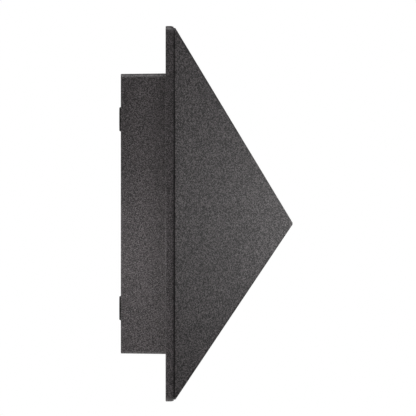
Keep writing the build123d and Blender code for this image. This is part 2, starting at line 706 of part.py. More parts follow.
def led_tray():
    """The tray of the LED boards, with the collar that goes into the box, clear of the rim's bosses."""
    half_width, half_height = tray_half_sizes()
    tray = prism(rounded(half_width, half_height, RIM_CORNER), TRAY_BACK, TRAY_FRONT)
    collar = rounded(COLLAR_X, COLLAR_Z, COLLAR_CORNER)
    collar -= Rectangle(2 * (COLLAR_X - COLLAR_WALL), 2 * (COLLAR_Z - COLLAR_WALL))
    tray += prism(collar, COLLAR_END, TRAY_BACK + JOIN)
    ledge = rounded(COLLAR_X + DIFFUSER_LEDGE, COLLAR_Z + DIFFUSER_LEDGE, COLLAR_CORNER)
    ledge -= rounded(COLLAR_X - JOIN, COLLAR_Z - JOIN, COLLAR_CORNER)
    tray += prism(ledge, DIFFUSER_FRONT, DIFFUSER_FRONT + DIFFUSER_LEDGE_THICK)
    for x, z in tray_screw_places():
        tray -= rod(SCREW_SHANK + HOLE_SLACK, TRAY_BACK, TRAY_FRONT, x, z)
    notch_x = RIM_SCREW_X - COVER_BOSS - LOOSE
    notch_z = RIM_SCREW_Z - COVER_BOSS - LOOSE
    for side_x, side_z in SIGNS:
        across = sorted((side_x * notch_x, side_x * RIM_WIDTH / 2))
        up = sorted((side_z * notch_z, side_z * RIM_HEIGHT / 2))
        tray -= bar(*across, TRAY_BACK, TRAY_FRONT, *up)
    slot_half = CONTACT_PITCH / 2 + LED_LEAD_SPREAD + 3 * LED_LEAD_RADIUS
    tray -= bar(
        -COLLAR_X - DIFFUSER_LEDGE,
        -COLLAR_X + COLLAR_WALL,
        lead_plane() - 2 * LED_LEAD_RADIUS,
        TRAY_BACK,
        DRIVER_Z - slot_half,
        DRIVER_Z + slot_half,
    )
    return tray


def tray_screw_places():
    """Where the four screws of the LED tray sit, beside the collar and a little beyond its ends."""
    x = COLLAR_X + TRAY_SCREW_BESIDE
    z = COLLAR_Z + TRAY_SCREW_BEYOND
    return [(side_x * x, side_z * z) for side_x, side_z in SIGNS]


def tray_screws():
    """Four screws from the LED tray into the front."""
    tip = TRAY_FRONT + TRAY_SCREW_BITE
    return [pan_screw(x, z, TRAY_BACK, tip, SCREW_HEAD, SCREW_SHANK) for x, z in tray_screw_places()]


def side_board_x():
    """The middle of the left and right LED boards, midway between collar and tray edge."""
    return (COLLAR_X + tray_half_sizes()[0]) / 2


def end_board_z():
    """The middle of the top and bottom LED boards, midway between collar and tray edge."""
    return (COLLAR_Z + tray_half_sizes()[1]) / 2


def led_board(side, upright_board):
    """One LED board: left (-1) or right (1) of the collar, or below (-1) or above (1) it."""
    if upright_board:
        outline = Rectangle(LED_BOARD_WIDTH, SIDE_BOARD_LENGTH)
        return prism(outline, BOARD_BACK, TRAY_BACK, side * side_board_x(), 0)
    outline = Rectangle(END_BOARD_LENGTH, LED_BOARD_WIDTH)
    return prism(outline, BOARD_BACK, TRAY_BACK, 0, side * end_board_z())


def led_chips(side, upright_board):
    """The row of chips on one LED board."""
    count = SIDE_CHIPS if upright_board else END_CHIPS
    length = SIDE_BOARD_LENGTH if upright_board else END_BOARD_LENGTH
    chips = []
    for index in range(count):
        along = ((index + 0.5) / count - 0.5) * length
        if upright_board:
            place = (side * side_board_x(), along)
            outline = Rectangle(CHIP_WIDTH, CHIP_LENGTH)
        else:
            place = (along, side * end_board_z())
            outline = Rectangle(CHIP_LENGTH, CHIP_WIDTH)
        chips.append(prism(outline, CHIP_BACK, BOARD_BACK, *place))
    return chips


def lead_plane():
    """The depth of the leads that lie on the LED boards."""
    return BOARD_BACK - LED_LEAD_RADIUS


def led_lead(side):
    """From the side of the plug through the collar to the left LED board."""
    start_x = DRIVER_X - SOCKET_WIDTH / 2
    start_z = DRIVER_Z + side * CONTACT_PITCH / 2
    end_z = start_z + side * LED_LEAD_SPREAD
    end_x = -side_board_x() + CHIP_WIDTH / 2
    middle = (start_x + end_x) / 2
    depth = lead_plane()
    return lead(
        [
            (start_x, depth, start_z),
            (middle + LED_LEAD_STRAIGHT / 2, depth, start_z),
            (middle - LED_LEAD_STRAIGHT / 2, depth, end_z),
            (end_x, depth, end_z),
        ],
        LED_LEAD_RADIUS,
    )


def board_jumpers():
    """Short leads that join the LED boards at three corners."""
    inner_x = side_board_x() - CHIP_WIDTH / 2
    depth = lead_plane()
    jumpers = []
    for side_x, side_z in ((-1, 1), (1, 1), (1, -1)):
        jumpers.append(
            lead(
                [
                    (side_x * inner_x, depth, side_z * (SIDE_BOARD_LENGTH / 2 - JUMPER_OVERLAP)),
                    (side_x * inner_x, depth, side_z * end_board_z()),
                    (side_x * (END_BOARD_LENGTH / 2 - JUMPER_OVERLAP), depth, side_z * end_board_z()),
                ],
                LED_LEAD_RADIUS,
            )
        )
    return jumpers


def diffuser():
    """The opal ring that faces the wall round the box, cut back at the rim's corner gussets."""
    ring = rounded(RIM_INNER_X - LOOSE, RIM_INNER_Z - LOOSE, COLLAR_CORNER)
    ring -= rounded(COLLAR_X + LOOSE, COLLAR_Z + LOOSE, COLLAR_CORNER)
    plate = prism(ring, DIFFUSER_BACK, DIFFUSER_FRONT)
    for side_x, side_z in SIGNS:
        across = sorted((side_x * (GUSSET_X - LOOSE), side_x * RIM_WIDTH / 2))
        up = sorted((side_z * (GUSSET_Z - LOOSE), side_z * RIM_HEIGHT / 2))
        plate -= bar(*across, DIFFUSER_BACK, DIFFUSER_FRONT, *up)
    return plate


def diffuser_seal():
    """Four strips between the edge of the diffuser and the front."""
    outer_x = RIM_INNER_X - LOOSE
    outer_z = RIM_INNER_Z - LOOSE
    reach_x = GUSSET_X - LOOSE
    reach_z = GUSSET_Z - LOOSE
    strips = []
    for side in (-1, 1):
        up = sorted((side * (outer_z - SEAL_WIDTH), side * outer_z))
        strips.append(bar(-reach_x, reach_x, DIFFUSER_FRONT, COVER_BASE, *up))
        across = sorted((side * (outer_x - SEAL_WIDTH), side * outer_x))
        strips.append(bar(*across, DIFFUSER_FRONT, COVER_BASE, -reach_z, reach_z))
    return strips


def rim_screw_places():
    """Where the four screws of the rim sit, one in each corner gusset."""
    return [(side_x * RIM_SCREW_X, side_z * RIM_SCREW_Z) for side_x, side_z in SIGNS]


def rim_frame(form):
    """The rim: outer wall, lip behind the diffuser, corner gussets, and a land that the front stands on."""
    frame = form & bar(-RIM_WIDTH, RIM_WIDTH, RIM_BACK - JOIN, RIM_FRONT, -RIM_HEIGHT, RIM_HEIGHT)
    land = rounded(RIM_WIDTH / 2 - SEAM_INSET, RIM_HEIGHT / 2 - SEAM_INSET, RIM_CORNER - SEAM_INSET)
    frame += prism(land, RIM_FRONT - JOIN, COVER_BASE)
    window = prism(rounded(RIM_INNER_X, RIM_INNER_Z, COLLAR_CORNER), DIFFUSER_BACK, COVER_BASE)
    opening = rounded(RIM_INNER_X - RIM_LIP, RIM_INNER_Z - RIM_LIP, COLLAR_CORNER)
    window += prism(opening, RIM_BACK, DIFFUSER_BACK)
    for side_x, side_z in SIGNS:
        across = sorted((side_x * GUSSET_X, side_x * RIM_WIDTH / 2))
        up = sorted((side_z * GUSSET_Z, side_z * RIM_HEIGHT / 2))
        window -= bar(*across, RIM_BACK, COVER_BASE, *up)
    frame -= window
    back_edges = frame.edges().filter_by_position(Axis.Y, -RIM_BACK - FIT, -RIM_BACK + FIT)
    outer_edges = []
    for edge in back_edges:
        middle = edge.center()
        if abs(middle.X) > RIM_INNER_X or abs(middle.Z) > RIM_INNER_Z:
            outer_edges.append(edge)
    frame = fillet(outer_edges, RIM_BACK_EDGE)
    sink_floor = rim_screw_seat()
    for x, z in rim_screw_places():
        frame -= rod(SCREW_HEAD + LOOSE, RIM_BACK, sink_floor, x, z)
        frame -= rod(SCREW_SHANK + HOLE_SLACK, sink_floor, COVER_BASE, x, z)
    return frame


def rim_screw_seat():
    """The depth that the heads of the rim screws rest on, just below the back of the rim."""
    return RIM_BACK + SCREW_HEAD_THICK + HOLE_SLACK


def rim_screws():
    """Four screws from behind, through the rim's gussets into the front."""
    tip = COVER_BASE + RIM_SCREW_BITE
    return [pan_screw(x, z, rim_screw_seat(), tip, SCREW_HEAD, SCREW_SHANK) for x, z in rim_screw_places()]


def front_cover(form):
    """The hollow pyramid front, with bosses inside for the screws of rim and tray."""
    cover = form & bar(-RIM_WIDTH, RIM_WIDTH, COVER_BASE, TIP + JOIN, -RIM_HEIGHT, RIM_HEIGHT)
    cover -= inner_pyramid(FRONT_WALL, COVER_BASE)
    middle_of_wall = inner_pyramid(FRONT_WALL / 2, COVER_BASE - JOIN)
    for x, z in rim_screw_places():
        cover += rod(COVER_BOSS, COVER_BASE, COVER_BASE + COVER_BOSS_LENGTH, x, z) & middle_of_wall
    for x, z in tray_screw_places():
        cover += rod(COVER_BOSS, TRAY_FRONT, TRAY_FRONT + COVER_BOSS_LENGTH, x, z) & middle_of_wall
    for x, z in rim_screw_places():
        cover -= rod(SCREW_SHANK + FIT, COVER_BASE, COVER_BASE + RIM_SCREW_BITE + THREAD_END, x, z)
    for x, z in tray_screw_places():
        cover -= rod(SCREW_SHANK + FIT, TRAY_FRONT, TRAY_FRONT + TRAY_SCREW_BITE + THREAD_END, x, z)
    return cover


def save(name, pieces):
    """Writes one node. A list is a group of separate solids."""
    shape = Compound(pieces) if isinstance(pieces, list) else pieces
    export_step(shape, os.path.join("parts", name + ".step"))


os.makedirs("parts", exist_ok=True)
FORM = head_form()

# Wall box and what it holds
save("box_shell", box_shell())
save("back_plate", back_plate())
save("back_plate_seal", back_plate_seal())
save("back_plate_screws", back_plate_screws())
save("wall_screw_bush_upper", wall_screw_bush(BUSH_SPACING / 2))
save("wall_screw_bush_lower", wall_screw_bush(-BUSH_SPACING / 2))
save("cable_grommet", cable_grommet())
save("terminal_block", terminal_block())
save("terminal_contacts", [contact_bar(index, 0) for index in range(len(POLES))])
save("lever_pin", lever_pin())
for number, pole_name in enumerate(POLES):
    save("lever_" + pole_name, lever(number))
save("earth_lug", earth_lug())
save("earth_screw", earth_screw())
save("earth_lead", earth_lead())
save("live_lead", supply_lead("live"))
save("neutral_lead", supply_lead("neutral"))
save("driver_case", driver_case())
save("driver_board", driver_board())
save("driver_lid", driver_lid())
save("driver_screws", driver_screws())
save("output_socket", output_socket())
save("box_gasket", box_gasket())
save("set_screw_upper", set_screw(1))
save("set_screw_lower", set_screw(-1))

# Head
save("led_tray", led_tray())
for board_name, (board_side, stands) in LED_BOARDS.items():
    save("led_board_" + board_name, led_board(board_side, stands))
    save("led_chips_" + board_name, led_chips(board_side, stands))
save("led_plug", led_plug())
save("plug_pins", plug_pins())
save("led_lead_positive", led_lead(1))
save("led_lead_negative", led_lead(-1))
save("board_jumpers", board_jumpers())
save("tray_screws", tray_screws())
save("diffuser", diffuser())
save("diffuser_seal", diffuser_seal())
save("rim_frame", rim_frame(FORM))
save("rim_screws", rim_screws())
save("front_cover", front_cover(FORM))
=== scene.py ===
"""The looks of an outdoor wall light: its finishes, edges, fasteners, LED chips and studio stage."""

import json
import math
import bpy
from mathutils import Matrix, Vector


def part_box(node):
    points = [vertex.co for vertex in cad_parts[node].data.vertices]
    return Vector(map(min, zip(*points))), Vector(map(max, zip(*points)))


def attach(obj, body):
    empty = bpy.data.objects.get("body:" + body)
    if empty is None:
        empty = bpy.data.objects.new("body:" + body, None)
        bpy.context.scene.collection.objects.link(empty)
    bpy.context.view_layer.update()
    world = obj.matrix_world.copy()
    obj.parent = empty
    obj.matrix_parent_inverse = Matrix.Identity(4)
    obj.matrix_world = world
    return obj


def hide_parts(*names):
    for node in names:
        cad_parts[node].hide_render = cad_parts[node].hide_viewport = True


bl_info = {
    "name": "Wall light looks",
    "version": (1, 0, 0),
    "blender": (4, 5, 0),
    "location": "View3D > Sidebar > Wall light",
    "description": "Dresses the wall light's pieces and sets them in a small studio",
    "category": "Object",
}

import bmesh
import bpy
from bpy.props import FloatProperty, FloatVectorProperty, IntProperty, PointerProperty
from mathutils import Vector

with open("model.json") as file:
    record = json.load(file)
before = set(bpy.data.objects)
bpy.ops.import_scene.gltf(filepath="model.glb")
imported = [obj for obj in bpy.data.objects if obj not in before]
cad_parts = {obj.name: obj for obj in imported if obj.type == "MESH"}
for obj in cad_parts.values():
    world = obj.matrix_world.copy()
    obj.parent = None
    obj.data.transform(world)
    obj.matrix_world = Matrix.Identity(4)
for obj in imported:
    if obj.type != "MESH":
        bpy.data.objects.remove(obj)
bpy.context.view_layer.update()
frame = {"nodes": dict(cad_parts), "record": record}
RECORD = frame["record"]
SLOT_OF = {part["node"]: part["material_slot"] for part in RECORD["subparts"]}
BODY_OF = {node: body for body, nodes in RECORD["behaviour"]["bodies"].items() for node in nodes}

MM = 0.001
SENSOR_WIDTH = 36.0
SAME_PLACE = 0.001 * MM
FLAT_ANGLE = math.radians(1.0)
SHARP_ANGLE = math.radians(35.0)

# Noise stays mostly between these two values
NOISE_LOW = 0.3
NOISE_HIGH = 0.7


class CoatSettings(bpy.types.PropertyGroup):
    """The fine-textured powder coat of box, rim and front."""

    hollows: FloatVectorProperty(
        name="Hollows",
        description="Colour of the coat in the hollows of its grain",
        subtype="COLOR",
        default=(0.007, 0.0062, 0.0065),
        min=0.0,
        max=1.0,
    )
    peaks: FloatVectorProperty(
        name="Peaks",
        description="Colour of the coat on the peaks of its grain",
        subtype="COLOR",
        default=(0.206, 0.183, 0.19),
        min=0.0,
        max=1.0,
    )
    grain_size: FloatProperty(
        name="Grain size",
        description="Distance from one grain of the coat to the next, on the front",
        unit="LENGTH",
        default=0.45 * MM,
        min=0.1 * MM,
    )
    back_grain_size: FloatProperty(
        name="Grain size behind the seam",
        description="Distance from one grain of the coat to the next, on box and rim",
        unit="LENGTH",
        default=0.29 * MM,
        min=0.1 * MM,
    )
    grain_softness: FloatProperty(
        name="Grain softness",
        description="How far one grain runs into the next",
        subtype="FACTOR",
        default=0.2,
        min=0.0,
        max=1.0,
    )
    grain_height: FloatProperty(
        name="Grain height",
        description="How far the grain stands up",
        unit="LENGTH",
        default=0.05 * MM,
        min=0.0,
    )
    grain_depth: FloatProperty(
        name="Grain depth",
        description="Power that leaves fewer grains light as it grows",
        default=2.0,
        min=0.1,
    )
    roughness: FloatProperty(
        name="Roughness",
        description="Mean roughness of the coat",
        subtype="FACTOR",
        default=0.46,
        min=0.0,
        max=1.0,
    )
    # The seam settings paint shade: a dark band on the coat stands in for the shade in the groove between rim
    # and front
    seam_painted_shade_width: FloatProperty(
        name="Seam width",
        description="Width of the groove between rim and front",
        unit="LENGTH",
        default=0.7 * MM,
        min=0.0,
    )
    seam_painted_shade_tone: FloatProperty(
        name="Seam tone",
        description="How much of the grain's lightness is left at the bottom of the groove",
        subtype="FACTOR",
        default=0.05,
        min=0.0,
        max=1.0,
    )


class EdgeSettings(bpy.types.PropertyGroup):
    """The small rounds on the edges of moulded, cast and stamped pieces."""

    cast: FloatProperty(
        name="Cast and stamped",
        description="Width of the round on the edges of the box, the back plate and the tray",
        unit="LENGTH",
        default=0.25 * MM,
        min=0.0,
    )
    moulded: FloatProperty(
        name="Moulded",
        description="Width of the round on the edges of plastic pieces",
        unit="LENGTH",
        default=0.18 * MM,
        min=0.0,
    )
    segments: IntProperty(
        name="Segments",
        description="How many faces make up a round",
        default=3,
        min=1,
    )


class ScrewSettings(bpy.types.PropertyGroup):
    """The cross-head screws and the grub screws."""

    head_height: FloatProperty(
        name="Pan head height",
        description="Height of a pan head over its seat",
        unit="LENGTH",
        default=2.0 * MM,
        min=0.0,
    )
    pitch: FloatProperty(
        name="Thread pitch",
        description="Distance from one turn of the thread to the next",
        unit="LENGTH",
        default=0.8 * MM,
        min=0.1 * MM,
    )
    thread_depth: FloatProperty(
        name="Thread depth",
        description="Depth of the thread's groove",
        unit="LENGTH",
        default=0.3 * MM,
        min=0.0,
    )
    cross_width: FloatProperty(
        name="Cross width",
        description="Width of the arms of the cross recess",
        unit="LENGTH",
        default=0.7 * MM,
        min=0.1 * MM,
    )
    cross_margin: FloatProperty(
        name="Cross margin",
        description="Distance from the end of an arm to the edge of the head",
        unit="LENGTH",
        default=1.0 * MM,
        min=0.0,
    )
    cross_depth: FloatProperty(
        name="Cross depth",
        description="Depth of the cross recess",
        unit="LENGTH",
        default=0.9 * MM,
        min=0.0,
    )
    hexagon_radius: FloatProperty(
        name="Hexagon radius",
        description="Corner radius of the hexagon socket in a grub screw",
        unit="LENGTH",
        default=1.15 * MM,
        min=0.1 * MM,
    )
    hexagon_depth: FloatProperty(
        name="Hexagon depth",
        description="Depth of the hexagon socket in a grub screw",
        unit="LENGTH",
        default=2.5 * MM,
        min=0.0,
    )
    seed: IntProperty(
        name="Seed",
        description="Fixes how far each screw happens to be turned",
        default=4,
    )


class ChipSettings(bpy.types.PropertyGroup):
    """The LED chips."""

    well_share: FloatProperty(
        name="Well share",
        description="Width of the round well as a share of the package's width",
        subtype="FACTOR",
        default=0.8,
        min=0.1,
        max=0.95,
    )
    fill_drop: FloatProperty(
        name="Fill drop",
        description="How far the phosphor lies below the rim of its well",
        unit="LENGTH",
        default=0.12 * MM,
        min=0.0,
    )


class StageSettings(bpy.types.PropertyGroup):
    """Camera, floor and lights."""

    lens: FloatProperty(
        name="Lens",
        description="Focal length of the camera, long enough to look nearly parallel",
        subtype="DISTANCE_CAMERA",
        default=1200.0,
        min=50.0,
    )
    view_width: FloatProperty(
        name="View width",
        description="Width of the picture at the near edge of the rim",
        unit="LENGTH",
        default=221.5 * MM,
        min=0.01,
    )
    view_depth: FloatProperty(
        name="View depth",
        description="Depth from the wall at the middle of the picture",
        unit="LENGTH",
        default=47.6 * MM,
    )
    view_height: FloatProperty(
        name="View height",
        description="Height at the middle of the picture",
        unit="LENGTH",
        default=3.05 * MM,
    )
    floor_drop: FloatProperty(
        name="Floor drop",
        description="How far the floor lies below the middle of the light",
        unit="LENGTH",
        default=9.6,
        min=0.15,
    )
    ambient: FloatProperty(
        name="Ambient",
        description="Strength of the white surroundings as a light",
        default=0.02,
        min=0.0,
    )


class WallLightSettings(bpy.types.PropertyGroup):
    """All the sizes and colours of the looks."""

    coat: PointerProperty(type=CoatSettings)
    edges: PointerProperty(type=EdgeSettings)
    screws: PointerProperty(type=ScrewSettings)
    chips: PointerProperty(type=ChipSettings)
    stage: PointerProperty(type=StageSettings)


class Nodes:
    """A node tree being built, with short ways to add and join nodes."""

    def __init__(self, tree):
        self.tree = tree

    def feed(self, socket, value):
        """Joins an output to a socket, or sets the socket to a constant."""
        if isinstance(value, bpy.types.NodeSocket):
            self.tree.links.new(value, socket)
        else:
            socket.default_value = value

    def add(self, kind, inputs=None, **settings):
        """A new node with its settings and inputs."""
        node = self.tree.nodes.new(kind)
        for name, value in settings.items():
            setattr(node, name, value)
        for name, value in (inputs or {}).items():
            self.feed(node.inputs[name], value)
        return node

    def math(self, operation, first, second=0.0):
        """The result of one sum of two numbers."""
        node = self.tree.nodes.new("ShaderNodeMath")
        node.operation = operation
        self.feed(node.inputs[0], first)
        self.feed(node.inputs[1], second)
        return node.outputs[0]

    def between(self, value, start, end, low, high):
        """A value carried from one range to another, and kept inside it."""
        inputs = {"Value": value, "From Min": start, "From Max": end, "To Min": low, "To Max": high}
        return self.add("ShaderNodeMapRange", inputs).outputs["Result"]

    def vector(self, x, y, z):
        """A vector from its three parts."""
        return self.add("ShaderNodeCombineXYZ", {"X": x, "Y": y, "Z": z}).outputs[0]


class Finish(Nodes):
    """A material being built: noise on the piece's own place drives colour, roughness and bump."""

    def __init__(self, name, constants=None):
        self.material = bpy.data.materials.new(name)
        self.material.use_nodes = True
        super().__init__(self.material.node_tree)
        self.shader = self.tree.nodes["Principled BSDF"]
        self.place = self.add("ShaderNodeTexCoord").outputs["Object"]
        for socket, value in (constants or {}).items():
            self.shader.inputs[socket].default_value = value

    def noise(self, size, detail=2.0, stretch=None):
        """Soft noise whose features are about one size across, drawn out along an axis by stretch."""
        place = self.place
        if stretch is not None:
            place = self.add("ShaderNodeMapping", {"Vector": place, "Scale": stretch}).outputs[0]
        inputs = {"Vector": place, "Scale": 1.0 / size, "Detail": detail}
        return self.add("ShaderNodeTexNoise", inputs).outputs["Fac"]

    def spread(self, noise):
        """Noise stretched to run from nought to one."""
        return self.between(noise, NOISE_LOW, NOISE_HIGH, 0.0, 1.0)

    def grains(self, scale, softness):
        """Grains, so many to a metre, each with its own chance value from nought to one."""
        inputs = {"Vector": self.place, "Scale": scale, "Smoothness": softness}
        cells = self.add("ShaderNodeTexVoronoi", inputs, feature="SMOOTH_F1").outputs["Color"]
        return self.add("ShaderNodeSeparateColor", {"Color": cells}).outputs[0]

    def colour(self, share, dark, light):
        """The colour of the surface, from dark to light by a share."""
        node = self.add("ShaderNodeMix", data_type="RGBA")
        self.feed(node.inputs["Factor"], share)
        self.feed(node.inputs[6], (*dark, 1.0))
        self.feed(node.inputs[7], (*light, 1.0))
        self.feed(self.shader.inputs["Base Color"], node.outputs[2])

    def roughness(self, share, low, high):
        """Roughness that follows a share."""
        self.feed(self.shader.inputs["Roughness"], self.between(share, 0.0, 1.0, low, high))

    def bump(self, height, distance):
        """Relief that follows a noise."""
        node = self.add("ShaderNodeBump", {"Height": height, "Distance": distance})
        self.feed(self.shader.inputs["Normal"], node.outputs["Normal"])


def shade(colour, factor):
    """A colour made darker or lighter by a factor."""
    return tuple(min(1.0, part * factor) for part in colour)


# The coat's waviness: its size in grains, and its share of the relief
WAVE_SIZE = 8
WAVE_SHARE = 0.7

# How much rougher the hollows and smoother the peaks of the coat are than its mean
HOLLOWS_ROUGHER = 0.1
PEAKS_SMOOTHER = 0.06


def powder_coat(name):
    """Charcoal powder coat: fine grains over a faint waviness, lighter on their peaks, with painted shade in
    the seam.
    """
    settings = bpy.context.scene.wall_light.coat
    finish = Finish(name)
    seam_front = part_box("front_cover")[1].y
    depth = finish.add("ShaderNodeSeparateXYZ", {"Vector": finish.place}).outputs["Y"]
    before_back = finish.math("LESS_THAN", depth, seam_front + settings.seam_painted_shade_width)
    behind_front = finish.math("GREATER_THAN", depth, seam_front)
    scales = (1.0 / settings.grain_size, 1.0 / settings.back_grain_size)
    grain = finish.grains(finish.between(behind_front, 0.0, 1.0, *scales), settings.grain_softness)
    grain = finish.math("POWER", grain, settings.grain_depth)
    wave = finish.noise(settings.grain_size * WAVE_SIZE)
    # Painted shade: the coat is darkened in the groove between rim and front, where shade falls
    in_painted_seam_shade = finish.math("MULTIPLY", before_back, behind_front)
    painted_seam_shadow = finish.math("MULTIPLY", in_painted_seam_shade, 1.0 - settings.seam_painted_shade_tone)
    share = finish.math("MULTIPLY", grain, finish.math("SUBTRACT", 1.0, painted_seam_shadow))
    finish.colour(share, settings.hollows, settings.peaks)
    finish.roughness(share, settings.roughness + HOLLOWS_ROUGHER, settings.roughness - PEAKS_SMOOTHER)
    relief = finish.math("ADD", grain, finish.math("MULTIPLY", wave, WAVE_SHARE))
    finish.bump(relief, settings.grain_height)
    return finish.material


# Flow marks in plastic and clouds on metal: their size, and how they change the tone
FLOW_SIZE = 30 * MM
FLOW_TONES = (0.95, 1.03)
CLOUD_SIZE = 25 * MM
CLOUD_TONES = (0.92, 1.0)

# How far the roughness swings about its mean
SPARK_SWING = (-0.08, 0.08)
MARK_SWING = (-0.05, 0.06)
MARK_DETAIL = 3.0


def moulded(name, colour, roughness=0.5, texture=0.6 * MM, relief=0.02 * MM, constants=None):
    """Moulded plastic or rubber with a fine spark texture and faint flow marks."""
    finish = Finish(name, constants)
    spark = finish.noise(texture)
    flow = finish.noise(FLOW_SIZE)
    finish.colour(finish.spread(flow), *(shade(colour, tone) for tone in FLOW_TONES))
    finish.roughness(finish.spread(spark), *(roughness + swing for swing in SPARK_SWING))
    finish.bump(spark, relief)
    return finish.material


def metal(name, colour, roughness=0.32, drawn=(1.0, 1.0, 1.0), grain=0.6 * MM, relief=0.004 * MM):
    """Metal with fine marks, drawn out along an axis, and a faintly cloudy tone."""
    finish = Finish(name, {"Metallic": 1.0})
    marks = finish.noise(grain, detail=MARK_DETAIL, stretch=drawn)
    cloud = finish.noise(CLOUD_SIZE)
    finish.colour(finish.spread(cloud), *(shade(colour, tone) for tone in CLOUD_TONES))
    finish.roughness(finish.spread(marks), *(roughness + swing for swing in MARK_SWING))
    finish.bump(marks, relief)
    return finish.material


# Copper tracks below the solder mask: how uneven, where their edges lie, and their tone, roughness and relief
TRACK_RANDOMNESS = 0.35
TRACK_EDGE = (0.38, 0.46)
TRACK_TONE = 0.8
TRACK_ROUGHNESS = (0.32, 0.45)
TRACK_RELIEF = 0.02 * MM


def circuit_board(name, colour, track):
    """Coated board: a smooth solder mask with the faint relief of the copper tracks below it."""
    finish = Finish(name)
    inputs = {"Vector": finish.place, "Scale": 1.0 / track, "Randomness": TRACK_RANDOMNESS}
    tracks = finish.add("ShaderNodeTexVoronoi", inputs, distance="CHEBYCHEV").outputs["Distance"]
    edge = finish.between(tracks, *TRACK_EDGE, 0.0, 1.0)
    finish.colour(edge, colour, shade(colour, TRACK_TONE))
    finish.roughness(edge, *TRACK_ROUGHNESS)
    finish.bump(edge, TRACK_RELIEF)
    return finish.material


# Stripes on insulation: how crooked and how sharp they are, and the texture, roughness and relief below them
STRIPE_DISTORTION = 0.2
STRIPE_EDGE = (0.42, 0.58)
INSULATION_TEXTURE = 0.8 * MM
INSULATION_ROUGHNESS = (0.36, 0.5)
INSULATION_RELIEF = 0.01 * MM


def striped_insulation(name, green, yellow, pitch):
    """Green insulation with yellow stripes."""
    finish = Finish(name)
    inputs = {"Vector": finish.place, "Scale": 1.0 / pitch, "Distortion": STRIPE_DISTORTION}
    wave = finish.add("ShaderNodeTexWave", inputs, bands_direction="DIAGONAL").outputs["Fac"]
    finish.colour(finish.between(wave, *STRIPE_EDGE, 0.0, 1.0), green, yellow)
    extruded = finish.noise(INSULATION_TEXTURE)
    finish.roughness(finish.spread(extruded), *INSULATION_ROUGHNESS)
    finish.bump(extruded, INSULATION_RELIEF)
    return finish.material


def insulation(name, colour):
    """Smooth insulation in one colour."""
    return moulded(name, colour, roughness=0.42)


UPRIGHT = (1.0, 1.0, 0.05)
CROSSWISE = (0.05, 1.0, 1.0)
DULL = {"Specular IOR Level": 0.15}
MILKY = {
    "Subsurface Weight": 0.7,
    "Subsurface Radius": (1.0, 0.95, 0.85),
    "Subsurface Scale": 3 * MM,
    "IOR": 1.49,
}

# Finishes by the record's material slot: how each is made, and its values
FINISHES = {
    "charcoal_powder_coat": (powder_coat, {}),
    "black_rubber": (
        moulded,
        {
            "colour": (0.004, 0.004, 0.0042),
            "roughness": 0.75,
            "texture": 0.8 * MM,
            "relief": 0.03 * MM,
            "constants": DULL,
        },
    ),
    "grey_silicone": (moulded, {"colour": (0.3, 0.3, 0.29), "roughness": 0.55, "texture": 1.0 * MM}),
    "zinc_plated_steel": (metal, {"colour": (0.55, 0.56, 0.58), "roughness": 0.5, "drawn": UPRIGHT}),
    "screw_steel": (metal, {"colour": (0.58, 0.58, 0.59), "roughness": 0.3}),
    "tray_aluminium": (metal, {"colour": (0.78, 0.79, 0.8), "roughness": 0.4, "drawn": CROSSWISE}),
    "opal_acrylic": (
        moulded,
        {
            "colour": (0.84, 0.84, 0.81),
            "roughness": 0.36,
            "texture": 3 * MM,
            "relief": 0.006 * MM,
            "constants": MILKY,
        },
    ),
    "white_board": (circuit_board, {"colour": (0.82, 0.83, 0.81), "track": 5 * MM}),
    "led_phosphor": (moulded, {"colour": (0.86, 0.66, 0.12), "roughness": 0.35}),
    "driver_plastic": (moulded, {"colour": (0.7, 0.7, 0.68), "roughness": 0.55}),
    "green_board": (circuit_board, {"colour": (0.02, 0.14, 0.045), "track": 4 * MM}),
    "grey_nylon": (moulded, {"colour": (0.34, 0.35, 0.35)}),
    "orange_nylon": (moulded, {"colour": (0.75, 0.2, 0.03), "roughness": 0.42}),
    "ivory_nylon": (moulded, {"colour": (0.78, 0.73, 0.6)}),
    "contact_brass": (metal, {"colour": (0.8, 0.62, 0.3), "roughness": 0.28}),
    "brown_insulation": (insulation, {"colour": (0.12, 0.05, 0.022)}),
    "blue_insulation": (insulation, {"colour": (0.02, 0.1, 0.36)}),
    "green_yellow_insulation": (
        striped_insulation,
        {"green": (0.05, 0.3, 0.05), "yellow": (0.75, 0.6, 0.04), "pitch": 6 * MM},
    ),
    "red_insulation": (insulation, {"colour": (0.45, 0.025, 0.02)}),
    "black_insulation": (insulation, {"colour": (0.02, 0.02, 0.02)}),
    "white_insulation": (insulation, {"colour": (0.75, 0.75, 0.74)}),
}


def finish_of(slot):
    """The material of one slot of the record, made when it is first needed."""
    made = bpy.data.materials.get("finish_" + slot)
    if made is None:
        maker, values = FINISHES[slot]
        made = maker("finish_" + slot, **values)
    return made


def dress(*nodes):
    """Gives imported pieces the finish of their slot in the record."""
    for node in nodes:
        for material_slot in frame["nodes"][node].material_slots:
            material_slot.material = finish_of(SLOT_OF[node])


def new_piece(name, mesh):
    """A new object at the origin."""
    piece = bpy.data.objects.new(name, mesh)
    bpy.context.scene.collection.objects.link(piece)
    return piece


